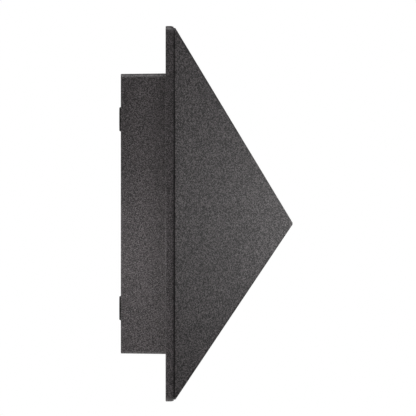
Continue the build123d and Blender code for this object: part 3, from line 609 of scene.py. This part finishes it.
def stand_for(piece, node):
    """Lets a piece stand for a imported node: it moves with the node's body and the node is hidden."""
    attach(piece, BODY_OF[node])
    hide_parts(node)


def soften(width, *nodes):
    """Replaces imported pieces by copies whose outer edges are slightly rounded."""
    for node in nodes:
        copy = bmesh.new()
        copy.from_mesh(frame["nodes"][node].data)
        bmesh.ops.remove_doubles(copy, verts=copy.verts, dist=SAME_PLACE)
        bmesh.ops.dissolve_limit(copy, angle_limit=FLAT_ANGLE, verts=copy.verts, edges=copy.edges)
        mesh = bpy.data.meshes.new(node + "_soft_edged")
        copy.to_mesh(mesh)
        copy.free()
        if "custom_normal" in mesh.attributes:
            mesh.attributes.remove(mesh.attributes["custom_normal"])
        mesh.shade_smooth()
        mesh.set_sharp_from_angle(angle=SHARP_ANGLE)
        mesh.materials.clear()
        mesh.materials.append(finish_of(SLOT_OF[node]))
        piece = new_piece(node + "_soft_edged", mesh)
        bevel = piece.modifiers.new("edges", "BEVEL")
        bevel.limit_method = "ANGLE"
        bevel.angle_limit = SHARP_ANGLE
        bevel.width = width
        bevel.segments = bpy.context.scene.wall_light.edges.segments
        bevel.use_clamp_overlap = False
        bevel.loop_slide = False
        bevel.harden_normals = True
        stand_for(piece, node)


def new_tree(name, sizes):
    """A geometry tree with named inputs: the points it works on, its sizes, its seed and its finish."""
    tree = bpy.data.node_groups.new(name, "GeometryNodeTree")
    tree.interface.new_socket("Geometry", in_out="INPUT", socket_type="NodeSocketGeometry")
    for size in sizes:
        tree.interface.new_socket(size, in_out="INPUT", socket_type="NodeSocketFloat")
    tree.interface.new_socket("Seed", in_out="INPUT", socket_type="NodeSocketInt")
    tree.interface.new_socket("Finish", in_out="INPUT", socket_type="NodeSocketMaterial")
    tree.interface.new_socket("Geometry", in_out="OUTPUT", socket_type="NodeSocketGeometry")
    nodes = Nodes(tree)
    return nodes, nodes.add("NodeGroupInput").outputs


def end_tree(nodes, start, shape, turned_about=(0.0, 0.0, 0.0)):
    """Sets a shape on every point, each turned by chance about an axis, and gives it its finish."""
    turn = nodes.add("FunctionNodeRandomValue", {"Seed": start["Seed"]}, data_type="FLOAT_VECTOR")
    nodes.feed(turn.inputs["Min"], (0.0, 0.0, 0.0))
    nodes.feed(turn.inputs["Max"], turned_about)
    rotation = nodes.add("FunctionNodeEulerToRotation", {"Euler": turn.outputs[0]}).outputs[0]
    inputs = {"Points": start["Geometry"], "Instance": shape, "Rotation": rotation}
    copies = nodes.add("GeometryNodeInstanceOnPoints", inputs).outputs[0]
    real = nodes.add("GeometryNodeRealizeInstances", {"Geometry": copies}).outputs[0]
    inputs = {"Geometry": real, "Material": start["Finish"]}
    finished = nodes.add("GeometryNodeSetMaterial", inputs).outputs[0]
    nodes.add("NodeGroupOutput", {"Geometry": finished})


def grow(name, tree, points, values, slot, seed=0):
    """Runs a geometry tree on points and returns the result as a plain piece."""
    mesh = bpy.data.meshes.new(name)
    mesh.from_pydata(points, [], [])
    piece = new_piece(name, mesh)
    modifier = piece.modifiers.new(tree.name, "NODES")
    modifier.node_group = tree
    settings = {**values, "Seed": seed, "Finish": finish_of(slot)}
    for item in tree.interface.items_tree:
        if item.in_out == "INPUT" and item.name in settings:
            modifier[item.identifier] = settings[item.name]
    evaluated = piece.evaluated_get(bpy.context.evaluated_depsgraph_get())
    piece.data = bpy.data.meshes.new_from_object(evaluated)
    piece.modifiers.clear()
    piece.data.name = name
    piece.data.shade_smooth()
    piece.data.set_sharp_from_angle(angle=SHARP_ANGLE)
    return piece


SCREW_SIDES = 28
HEAD_ROWS = 12
SHANK_ROWS = 72
SCREW_SIZES = (
    "Head radius",
    "Head height",
    "Neck length",
    "Shank radius",
    "Shank length",
    "Thread pitch",
    "Thread depth",
    "Cross width",
    "Cross length",
    "Cross depth",
    "Facing",
)
HEAD_SQUARENESS = 0.5
POINT_LENGTH = 0.8 * MM
POINT_BLUNTNESS = 0.5


def soft_power(nodes, wave, angle):
    """A sine or cosine bent towards a square corner."""
    return nodes.math("POWER", nodes.math("MAXIMUM", nodes.math(wave, angle), 0.0), HEAD_SQUARENESS)


def choose(nodes, switch, first, second):
    """The first value where the switch is nought, and the second where it is one."""
    step = nodes.math("MULTIPLY", nodes.math("SUBTRACT", second, first), switch)
    return nodes.math("ADD", first, step)


def sheet(nodes, rows):
    """A sheet to wind into a turned shape, with the share of the turn and the row at each of its points."""
    inputs = {"Size X": 1.0, "Size Y": 1.0, "Vertices X": SCREW_SIDES + 1, "Vertices Y": rows}
    grid = nodes.add("GeometryNodeMeshGrid", inputs).outputs["Mesh"]
    position = nodes.add("GeometryNodeInputPosition").outputs[0]
    place = nodes.add("ShaderNodeSeparateXYZ", {"Vector": position}).outputs
    round_share = nodes.math("ADD", place["X"], 0.5)
    row = nodes.math("MULTIPLY", nodes.math("ADD", place["Y"], 0.5), rows - 1)
    return grid, round_share, row


def wind(nodes, grid, position):
    """Moves a sheet to its wound places and closes its seam."""
    wound = nodes.add("GeometryNodeSetPosition", {"Geometry": grid, "Position": position}).outputs[0]
    inputs = {"Geometry": wound, "Distance": SAME_PLACE}
    return nodes.add("GeometryNodeMergeByDistance", inputs).outputs[0]


def cut_out(nodes, shape, cutter):
    """A shape less another."""
    inputs = {"Mesh 1": shape, "Mesh 2": cutter}
    settings = {"operation": "DIFFERENCE", "solver": "EXACT"}
    return nodes.add("GeometryNodeMeshBoolean", inputs, **settings).outputs["Mesh"]


def thread_groove(nodes, start, depth, round_share):
    """How deep the thread's groove is, at a depth along the screw and a share of its turn."""
    turns = nodes.math("ADD", nodes.math("DIVIDE", depth, start["Thread pitch"]), round_share)
    ramp = nodes.math("ABSOLUTE", nodes.math("SUBTRACT", nodes.math("FRACT", turns), 0.5))
    return nodes.math("MULTIPLY", nodes.math("MULTIPLY", ramp, 2.0), start["Thread depth"])


def screw_tree():
    """Cross-head screws on points, along Y: a domed head, a neck, a threaded shank and a cross recess."""
    nodes, start = new_tree("cross_head_screws", SCREW_SIZES)
    rows = HEAD_ROWS + SHANK_ROWS
    grid, round_share, row = sheet(nodes, rows)

    bow = nodes.between(row, 0.0, HEAD_ROWS - 1, 0.0, math.pi / 2)
    dome_radius = nodes.math("MULTIPLY", soft_power(nodes, "SINE", bow), start["Head radius"])
    dome_height = nodes.math("MULTIPLY", soft_power(nodes, "COSINE", bow), start["Head height"])

    depth = nodes.between(row, HEAD_ROWS, rows - 1, 0.0, start["Shank length"])
    on_neck = nodes.math("LESS_THAN", depth, start["Neck length"])
    neck_rest = nodes.math("SUBTRACT", 1.0, nodes.math("DIVIDE", depth, start["Neck length"]))
    flare = nodes.math("SUBTRACT", start["Head radius"], start["Shank radius"])
    neck = nodes.math("MULTIPLY", nodes.math("MULTIPLY", flare, neck_rest), on_neck)
    below_neck = nodes.math("SUBTRACT", 1.0, on_neck)
    groove = nodes.math("MULTIPLY", thread_groove(nodes, start, depth, round_share), below_neck)
    to_tip = nodes.math("SUBTRACT", start["Shank length"], depth)
    taper = nodes.between(to_tip, 0.0, POINT_LENGTH, 0.0, 1.0)
    shank = nodes.math("SUBTRACT", nodes.math("ADD", start["Shank radius"], neck), groove)
    shank = nodes.math("MULTIPLY", shank, nodes.math("POWER", taper, POINT_BLUNTNESS))

    on_shank = nodes.math("GREATER_THAN", row, HEAD_ROWS - 0.5)
    radius = choose(nodes, on_shank, dome_radius, shank)
    height = choose(nodes, on_shank, dome_height, nodes.math("MULTIPLY", depth, -1.0))
    turn = nodes.math("MULTIPLY", nodes.math("MULTIPLY", round_share, 2 * math.pi), start["Facing"])
    wound = nodes.vector(
        nodes.math("MULTIPLY", radius, nodes.math("COSINE", turn)),
        nodes.math("MULTIPLY", height, start["Facing"]),
        nodes.math("MULTIPLY", radius, nodes.math("SINE", turn)),
    )
    screw = wind(nodes, grid, wound)

    top = nodes.vector(0.0, nodes.math("MULTIPLY", start["Head height"], start["Facing"]), 0.0)
    deep = nodes.math("MULTIPLY", start["Cross depth"], 2.0)
    for across, up in (("Cross length", "Cross width"), ("Cross width", "Cross length")):
        size = nodes.vector(start[across], deep, start[up])
        arm = nodes.add("GeometryNodeMeshCube", {"Size": size}).outputs["Mesh"]
        arm = nodes.add("GeometryNodeTransform", {"Geometry": arm, "Translation": top}).outputs[0]
        screw = cut_out(nodes, screw, arm)
    end_tree(nodes, start, screw, turned_about=(0.0, math.pi, 0.0))
    return nodes.tree


GRUB_SIZES = ("Radius", "Length", "Thread pitch", "Thread depth", "Hexagon radius", "Hexagon depth", "Facing")
GRUB_ROWS = 64
CHAMFER = 0.35 * MM
HEXAGON_SIDES = 6


def grub_screw_tree():
    """Grub screws on points, along Z: a threaded rod with chamfered ends and a hexagon socket."""
    nodes, start = new_tree("grub_screws", GRUB_SIZES)
    grid, round_share, row = sheet(nodes, GRUB_ROWS)
    last = GRUB_ROWS - 1
    depth = nodes.between(row, 1.0, last - 1.0, 0.0, start["Length"])
    to_end = nodes.math("MINIMUM", depth, nodes.math("SUBTRACT", start["Length"], depth))
    chamfer = nodes.between(to_end, 0.0, CHAMFER, CHAMFER, 0.0)
    cut_in = nodes.math("MAXIMUM", thread_groove(nodes, start, depth, round_share), chamfer)
    from_middle = nodes.math("ABSOLUTE", nodes.math("SUBTRACT", row, last / 2))
    on_side = nodes.math("LESS_THAN", from_middle, last / 2 - 0.5)
    radius = nodes.math("MULTIPLY", nodes.math("SUBTRACT", start["Radius"], cut_in), on_side)
    turn = nodes.math("MULTIPLY", nodes.math("MULTIPLY", round_share, -2 * math.pi), start["Facing"])
    wound = nodes.vector(
        nodes.math("MULTIPLY", radius, nodes.math("COSINE", turn)),
        nodes.math("MULTIPLY", radius, nodes.math("SINE", turn)),
        nodes.math("MULTIPLY", nodes.math("MULTIPLY", depth, -1.0), start["Facing"]),
    )
    deep = nodes.math("MULTIPLY", start["Hexagon depth"], 2.0)
    inputs = {"Vertices": HEXAGON_SIDES, "Radius": start["Hexagon radius"], "Depth": deep}
    socket = nodes.add("GeometryNodeMeshCylinder", inputs).outputs["Mesh"]
    screw = cut_out(nodes, wind(nodes, grid, wound), socket)
    end_tree(nodes, start, screw, turned_about=(0.0, 0.0, math.pi))
    return nodes.tree


PACKAGE_SIZES = ("Size X", "Size Y", "Size Z", "Well radius", "Well depth")
FILL_SIZES = ("Well radius", "Fill depth")
WELL_SIDES = 24


def well_plug(nodes, start, depth, middle):
    """A round plug of the well's width along Y."""
    inputs = {"Vertices": WELL_SIDES, "Radius": start["Well radius"], "Depth": depth}
    plug = nodes.add("GeometryNodeMeshCylinder", inputs).outputs["Mesh"]
    turn = nodes.add("FunctionNodeEulerToRotation", {"Euler": (math.pi / 2, 0.0, 0.0)}).outputs[0]
    inputs = {"Geometry": plug, "Rotation": turn, "Translation": nodes.vector(0.0, middle, 0.0)}
    return nodes.add("GeometryNodeTransform", inputs).outputs[0]


def package_tree():
    """LED packages on points: a block with a round well that opens towards the wall."""
    nodes, start = new_tree("led_packages", PACKAGE_SIZES)
    size = nodes.vector(start["Size X"], start["Size Y"], start["Size Z"])
    block = nodes.add("GeometryNodeMeshCube", {"Size": size}).outputs["Mesh"]
    top = nodes.math("MULTIPLY", start["Size Y"], 0.5)
    well = well_plug(nodes, start, nodes.math("MULTIPLY", start["Well depth"], 2.0), top)
    end_tree(nodes, start, cut_out(nodes, block, well))
    return nodes.tree


def fill_tree():
    """The phosphor in the wells of the LED packages, on points at the bottom of each well."""
    nodes, start = new_tree("led_fills", FILL_SIZES)
    half = nodes.math("MULTIPLY", start["Fill depth"], 0.5)
    end_tree(nodes, start, well_plug(nodes, start, start["Fill depth"], half))
    return nodes.tree


# Head and shank radius of the two sizes of screws
SMALL_SCREW = (2.8 * MM, 1.5 * MM)
EARTH_SCREW = (3.8 * MM, 2.0 * MM)

# Screws by node: head and shank radius, the way the head faces along Y, and whether it is countersunk
SCREWS = {
    "back_plate_screws": (*SMALL_SCREW, 1, True),
    "rim_screws": (*SMALL_SCREW, 1, False),
    "tray_screws": (*SMALL_SCREW, 1, False),
    "driver_screws": (*SMALL_SCREW, -1, False),
    "earth_screw": (*EARTH_SCREW, -1, False),
}


def middles(low, high, margin):
    """The one or two middles of round things between two ends."""
    first = low + margin
    last = high - margin
    return [first] if last - first < margin else [first, last]


def make_screws(tree, node):
    """Replaces one node of screws by threaded screws with cross recesses."""
    settings = bpy.context.scene.wall_light.screws
    head_radius, shank_radius, facing, countersunk = SCREWS[node]
    low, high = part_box(node)
    top, tip = (high.y, low.y) if facing > 0 else (low.y, high.y)
    seat = top if countersunk else top - facing * settings.head_height
    points = []
    for x in middles(low.x, high.x, head_radius):
        for z in middles(low.z, high.z, head_radius):
            points.append((x, seat, z))
    values = {
        "Head radius": head_radius,
        "Head height": 0.0 if countersunk else settings.head_height,
        "Neck length": head_radius - shank_radius if countersunk else 0.0,
        "Shank radius": shank_radius,
        "Shank length": abs(seat - tip),
        "Thread pitch": settings.pitch,
        "Thread depth": settings.thread_depth,
        "Cross width": settings.cross_width,
        "Cross length": 2 * (head_radius - settings.cross_margin),
        "Cross depth": settings.cross_depth,
        "Facing": float(facing),
    }
    stand_for(grow(node + "_threaded", tree, points, values, SLOT_OF[node], settings.seed), node)


def make_grub_screw(tree, node, facing):
    """Replaces one grub screw by a threaded one."""
    settings = bpy.context.scene.wall_light.screws
    low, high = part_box(node)
    middle = (low + high) / 2
    end = high.z if facing > 0 else low.z
    values = {
        "Radius": (high.x - low.x) / 2,
        "Length": high.z - low.z,
        "Thread pitch": settings.pitch,
        "Thread depth": settings.thread_depth,
        "Hexagon radius": settings.hexagon_radius,
        "Hexagon depth": settings.hexagon_depth,
        "Facing": float(facing),
    }
    points = [(middle.x, middle.y, end)]
    stand_for(grow(node + "_threaded", tree, points, values, SLOT_OF[node], settings.seed), node)


CHIP_WIDTH = 2.8 * MM
CHIP_LENGTH = 3.5 * MM

# LED chips by node: the sizes of one chip along X and Z, and how many there are in the row
CHIPS = {
    "led_chips_left": (CHIP_WIDTH, CHIP_LENGTH, 8),
    "led_chips_right": (CHIP_WIDTH, CHIP_LENGTH, 8),
    "led_chips_bottom": (CHIP_LENGTH, CHIP_WIDTH, 4),
    "led_chips_top": (CHIP_LENGTH, CHIP_WIDTH, 4),
}


def make_chips(packages, fills, node):
    """Replaces one row of LED chips by packages with a well, and fills the wells with phosphor."""
    settings = bpy.context.scene.wall_light.chips
    size_x, size_z, count = CHIPS[node]
    low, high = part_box(node)
    thick = high.y - low.y
    first = Vector((low.x + size_x / 2, (low.y + high.y) / 2, low.z + size_z / 2))
    last = Vector((high.x - size_x / 2, first.y, high.z - size_z / 2))
    centres = [first.lerp(last, index / (count - 1)) for index in range(count)]
    well_radius = min(size_x, size_z) * settings.well_share / 2
    well_depth = thick / 2
    values = {
        "Size X": size_x,
        "Size Y": thick,
        "Size Z": size_z,
        "Well radius": well_radius,
        "Well depth": well_depth,
    }
    package = grow(node + "_packages", packages, centres, values, "white_board")
    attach(package, BODY_OF[node])
    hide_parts(node)
    floors = [centre + Vector((0.0, thick / 2 - well_depth, 0.0)) for centre in centres]
    values = {"Well radius": well_radius, "Fill depth": well_depth - settings.fill_drop}
    fill = grow(node + "_phosphor", fills, floors, values, "led_phosphor")
    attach(fill, BODY_OF[node])


class Step:
    """What all the steps share."""

    bl_options = {"REGISTER", "UNDO"}


class WALLLIGHT_OT_shells(Step, bpy.types.Operator):
    """Dresses box, rim and front in powder coat."""

    bl_idname = "wall_light.shells"
    bl_label = "Powder-coated shells"

    def execute(self, context):
        """Coats the shells and softens the edges of the box."""
        dress("rim_frame", "front_cover")
        soften(context.scene.wall_light.edges.cast, "box_shell")
        return {"FINISHED"}


class WALLLIGHT_OT_rubber(Step, bpy.types.Operator):
    """Dresses bushes, grommet, gasket and seals."""

    bl_idname = "wall_light.rubber"
    bl_label = "Rubber pieces"

    def execute(self, context):
        """Dresses the rubber and silicone pieces."""
        dress("wall_screw_bush_upper", "wall_screw_bush_lower", "cable_grommet", "box_gasket")
        dress("back_plate_seal", "diffuser_seal")
        return {"FINISHED"}


class WALLLIGHT_OT_plates(Step, bpy.types.Operator):
    """Dresses the back plate and the LED tray."""

    bl_idname = "wall_light.plates"
    bl_label = "Back plate and LED tray"

    def execute(self, context):
        """Softens the edges of the two stamped plates."""
        soften(context.scene.wall_light.edges.cast, "back_plate", "led_tray")
        return {"FINISHED"}


class WALLLIGHT_OT_screws(Step, bpy.types.Operator):
    """Threads the screws and the grub screws."""

    bl_idname = "wall_light.screws"
    bl_label = "Screws"

    def execute(self, context):
        """Makes all the screws."""
        tree = screw_tree()
        for node in SCREWS:
            make_screws(tree, node)
        tree = grub_screw_tree()
        make_grub_screw(tree, "set_screw_upper", 1)
        make_grub_screw(tree, "set_screw_lower", -1)
        return {"FINISHED"}


class WALLLIGHT_OT_terminals(Step, bpy.types.Operator):
    """Dresses the terminal block, its levers and the earth point."""

    bl_idname = "wall_light.terminals"
    bl_label = "Terminals and earth point"

    def execute(self, context):
        """Dresses the terminals."""
        width = context.scene.wall_light.edges.moulded
        soften(width, "terminal_block", "lever_live", "lever_neutral", "lever_earth")
        dress("terminal_contacts", "lever_pin", "earth_lug")
        return {"FINISHED"}


class WALLLIGHT_OT_leads(Step, bpy.types.Operator):
    """Dresses the leads."""

    bl_idname = "wall_light.leads"
    bl_label = "Leads"

    def execute(self, context):
        """Dresses the leads in the colours of their insulation."""
        dress("live_lead", "neutral_lead", "earth_lead")
        dress("led_lead_positive", "led_lead_negative", "board_jumpers")
        return {"FINISHED"}


class WALLLIGHT_OT_driver(Step, bpy.types.Operator):
    """Dresses the driver and the plug connection to the head."""

    bl_idname = "wall_light.driver"
    bl_label = "Driver and plug"

    def execute(self, context):
        """Dresses the driver."""
        width = context.scene.wall_light.edges.moulded
        soften(width, "driver_case", "driver_lid", "output_socket", "led_plug")
        dress("driver_board", "plug_pins")
        return {"FINISHED"}


class WALLLIGHT_OT_leds(Step, bpy.types.Operator):
    """Makes the LED chips and dresses their boards and the diffuser."""

    bl_idname = "wall_light.leds"
    bl_label = "LED boards and diffuser"

    def execute(self, context):
        """Makes the LED chips."""
        dress("led_board_left", "led_board_right", "led_board_bottom", "led_board_top")
        packages = package_tree()
        fills = fill_tree()
        for node in CHIPS:
            make_chips(packages, fills, node)
        soften(context.scene.wall_light.edges.moulded, "diffuser")
        return {"FINISHED"}


# Softboxes: name, place, the point they face, width and power in watts
MIDDLE = (0.0, -0.046, 0.0)
LIGHTS = (
    ("overhead", (-0.375, -0.046, 0.927), MIDDLE, 0.35, 6.4),
    ("floor_wash", (0.0, 0.0, -5.4), (0.0, 0.0, -9.6), 24.0, 3240.0),
    ("nose", (0.002, -0.277, -0.005), (-0.015, -0.078, -0.005), 0.1, 0.15),
    ("nose_high", (0.001, -0.265, 0.063), (-0.015, -0.078, -0.005), 0.1, 0.024),
    ("box_low", (-0.127, 0.079, -0.105), (-0.035, -0.013, -0.03), 0.075, 0.062),
    ("box_glow", (-0.077, 0.034, -0.02), (-0.035, -0.008, -0.025), 0.03, 0.0205),
    ("far_side", (0.77, 0.1, 0.1), MIDDLE, 0.5, 2.0),
    ("wall_side", (0.2, 0.75, 0.25), MIDDLE, 0.7, 1.6),
)


class WALLLIGHT_OT_stage(Step, bpy.types.Operator):
    """Sets the camera, the floor, the white surroundings and the lights."""

    bl_idname = "wall_light.stage"
    bl_label = "Studio stage"

    def execute(self, context):
        """Builds the stage."""
        settings = context.scene.wall_light.stage
        place_camera(settings)
        lay_floor(settings)
        surround(settings)
        for light in LIGHTS:
            hang_light(*light)
        context.scene.view_settings.view_transform = "Standard"
        return {"FINISHED"}


# How far the camera sees, in its distances from the light
SIGHT = 5


def place_camera(settings):
    """A camera with a long lens, square to the side of the light."""
    data = bpy.data.cameras.new("photo_camera")
    data.sensor_width = SENSOR_WIDTH
    data.lens = settings.lens
    distance = settings.view_width * settings.lens / SENSOR_WIDTH
    data.clip_end = SIGHT * distance
    camera = bpy.data.objects.new("photo_camera", data)
    near_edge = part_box("rim_frame")[0].x
    camera.location = (near_edge - distance, -settings.view_depth, settings.view_height)
    camera.rotation_euler = (math.pi / 2, 0.0, -math.pi / 2)
    bpy.context.scene.collection.objects.link(camera)
    bpy.context.scene.camera = camera


FLOOR_HALF = 12.0
FLOOR_CORNERS = ((-1, -1), (1, -1), (1, 1), (-1, 1))
FLOOR_COLOUR = (0.8, 0.8, 0.79)
FLOOR_ROUGHNESS = 0.7
FLOOR_TEXTURE = 4 * MM


def lay_floor(settings):
    """A plain pale floor well below the light."""
    mesh = bpy.data.meshes.new("floor")
    points = [(x * FLOOR_HALF, y * FLOOR_HALF, -settings.floor_drop) for x, y in FLOOR_CORNERS]
    mesh.from_pydata(points, [], [range(len(points))])
    mesh.materials.append(moulded("finish_floor", FLOOR_COLOUR, FLOOR_ROUGHNESS, texture=FLOOR_TEXTURE))
    new_piece("floor", mesh)


WHITE = (1.0, 1.0, 1.0, 1.0)


def surround(settings):
    """White surroundings: plain white in the picture, and softer as a light."""
    world = bpy.data.worlds.new("white_surroundings")
    bpy.context.scene.world = world
    world.use_nodes = True
    nodes = Nodes(world.node_tree)
    background = world.node_tree.nodes["Background"]
    background.inputs["Color"].default_value = WHITE
    seen = nodes.add("ShaderNodeLightPath").outputs["Is Camera Ray"]
    nodes.feed(background.inputs["Strength"], nodes.between(seen, 0.0, 1.0, settings.ambient, 1.0))


def hang_light(name, place, aim, width, power):
    """A square softbox that faces a point."""
    data = bpy.data.lights.new(name, "AREA")
    data.size = width
    data.energy = power
    lamp = bpy.data.objects.new(name, data)
    lamp.location = place
    lamp.rotation_euler = (Vector(aim) - Vector(place)).to_track_quat("-Z", "Y").to_euler()
    lamp.visible_camera = False
    bpy.context.scene.collection.objects.link(lamp)


STEPS = (
    WALLLIGHT_OT_shells,
    WALLLIGHT_OT_rubber,
    WALLLIGHT_OT_plates,
    WALLLIGHT_OT_screws,
    WALLLIGHT_OT_terminals,
    WALLLIGHT_OT_leads,
    WALLLIGHT_OT_driver,
    WALLLIGHT_OT_leds,
    WALLLIGHT_OT_stage,
)


class WALLLIGHT_PT_panel(bpy.types.Panel):
    """Lists the steps that dress the wall light."""

    bl_idname = "WALLLIGHT_PT_panel"
    bl_label = "Wall light"
    bl_space_type = "VIEW_3D"
    bl_region_type = "UI"
    bl_category = "Wall light"

    def draw(self, context):
        """Draws a button for each step."""
        for step in STEPS:
            self.layout.operator(step.bl_idname)


CLASSES = (
    CoatSettings,
    EdgeSettings,
    ScrewSettings,
    ChipSettings,
    StageSettings,
    WallLightSettings,
    *STEPS,
    WALLLIGHT_PT_panel,
)


def register():
    """Adds the classes and the settings to Blender."""
    for cls in CLASSES:
        bpy.utils.register_class(cls)
    bpy.types.Scene.wall_light = PointerProperty(type=WallLightSettings)


def unregister():
    """Takes them away again."""
    del bpy.types.Scene.wall_light
    for cls in reversed(CLASSES):
        bpy.utils.unregister_class(cls)


def main():
    """Runs the steps in order."""
    register()
    bpy.ops.wall_light.shells()
    bpy.ops.wall_light.rubber()
    bpy.ops.wall_light.plates()
    bpy.ops.wall_light.screws()
    bpy.ops.wall_light.terminals()
    bpy.ops.wall_light.leads()
    bpy.ops.wall_light.driver()
    bpy.ops.wall_light.leds()
    bpy.ops.wall_light.stage()


if __name__ == "__main__":
    main()
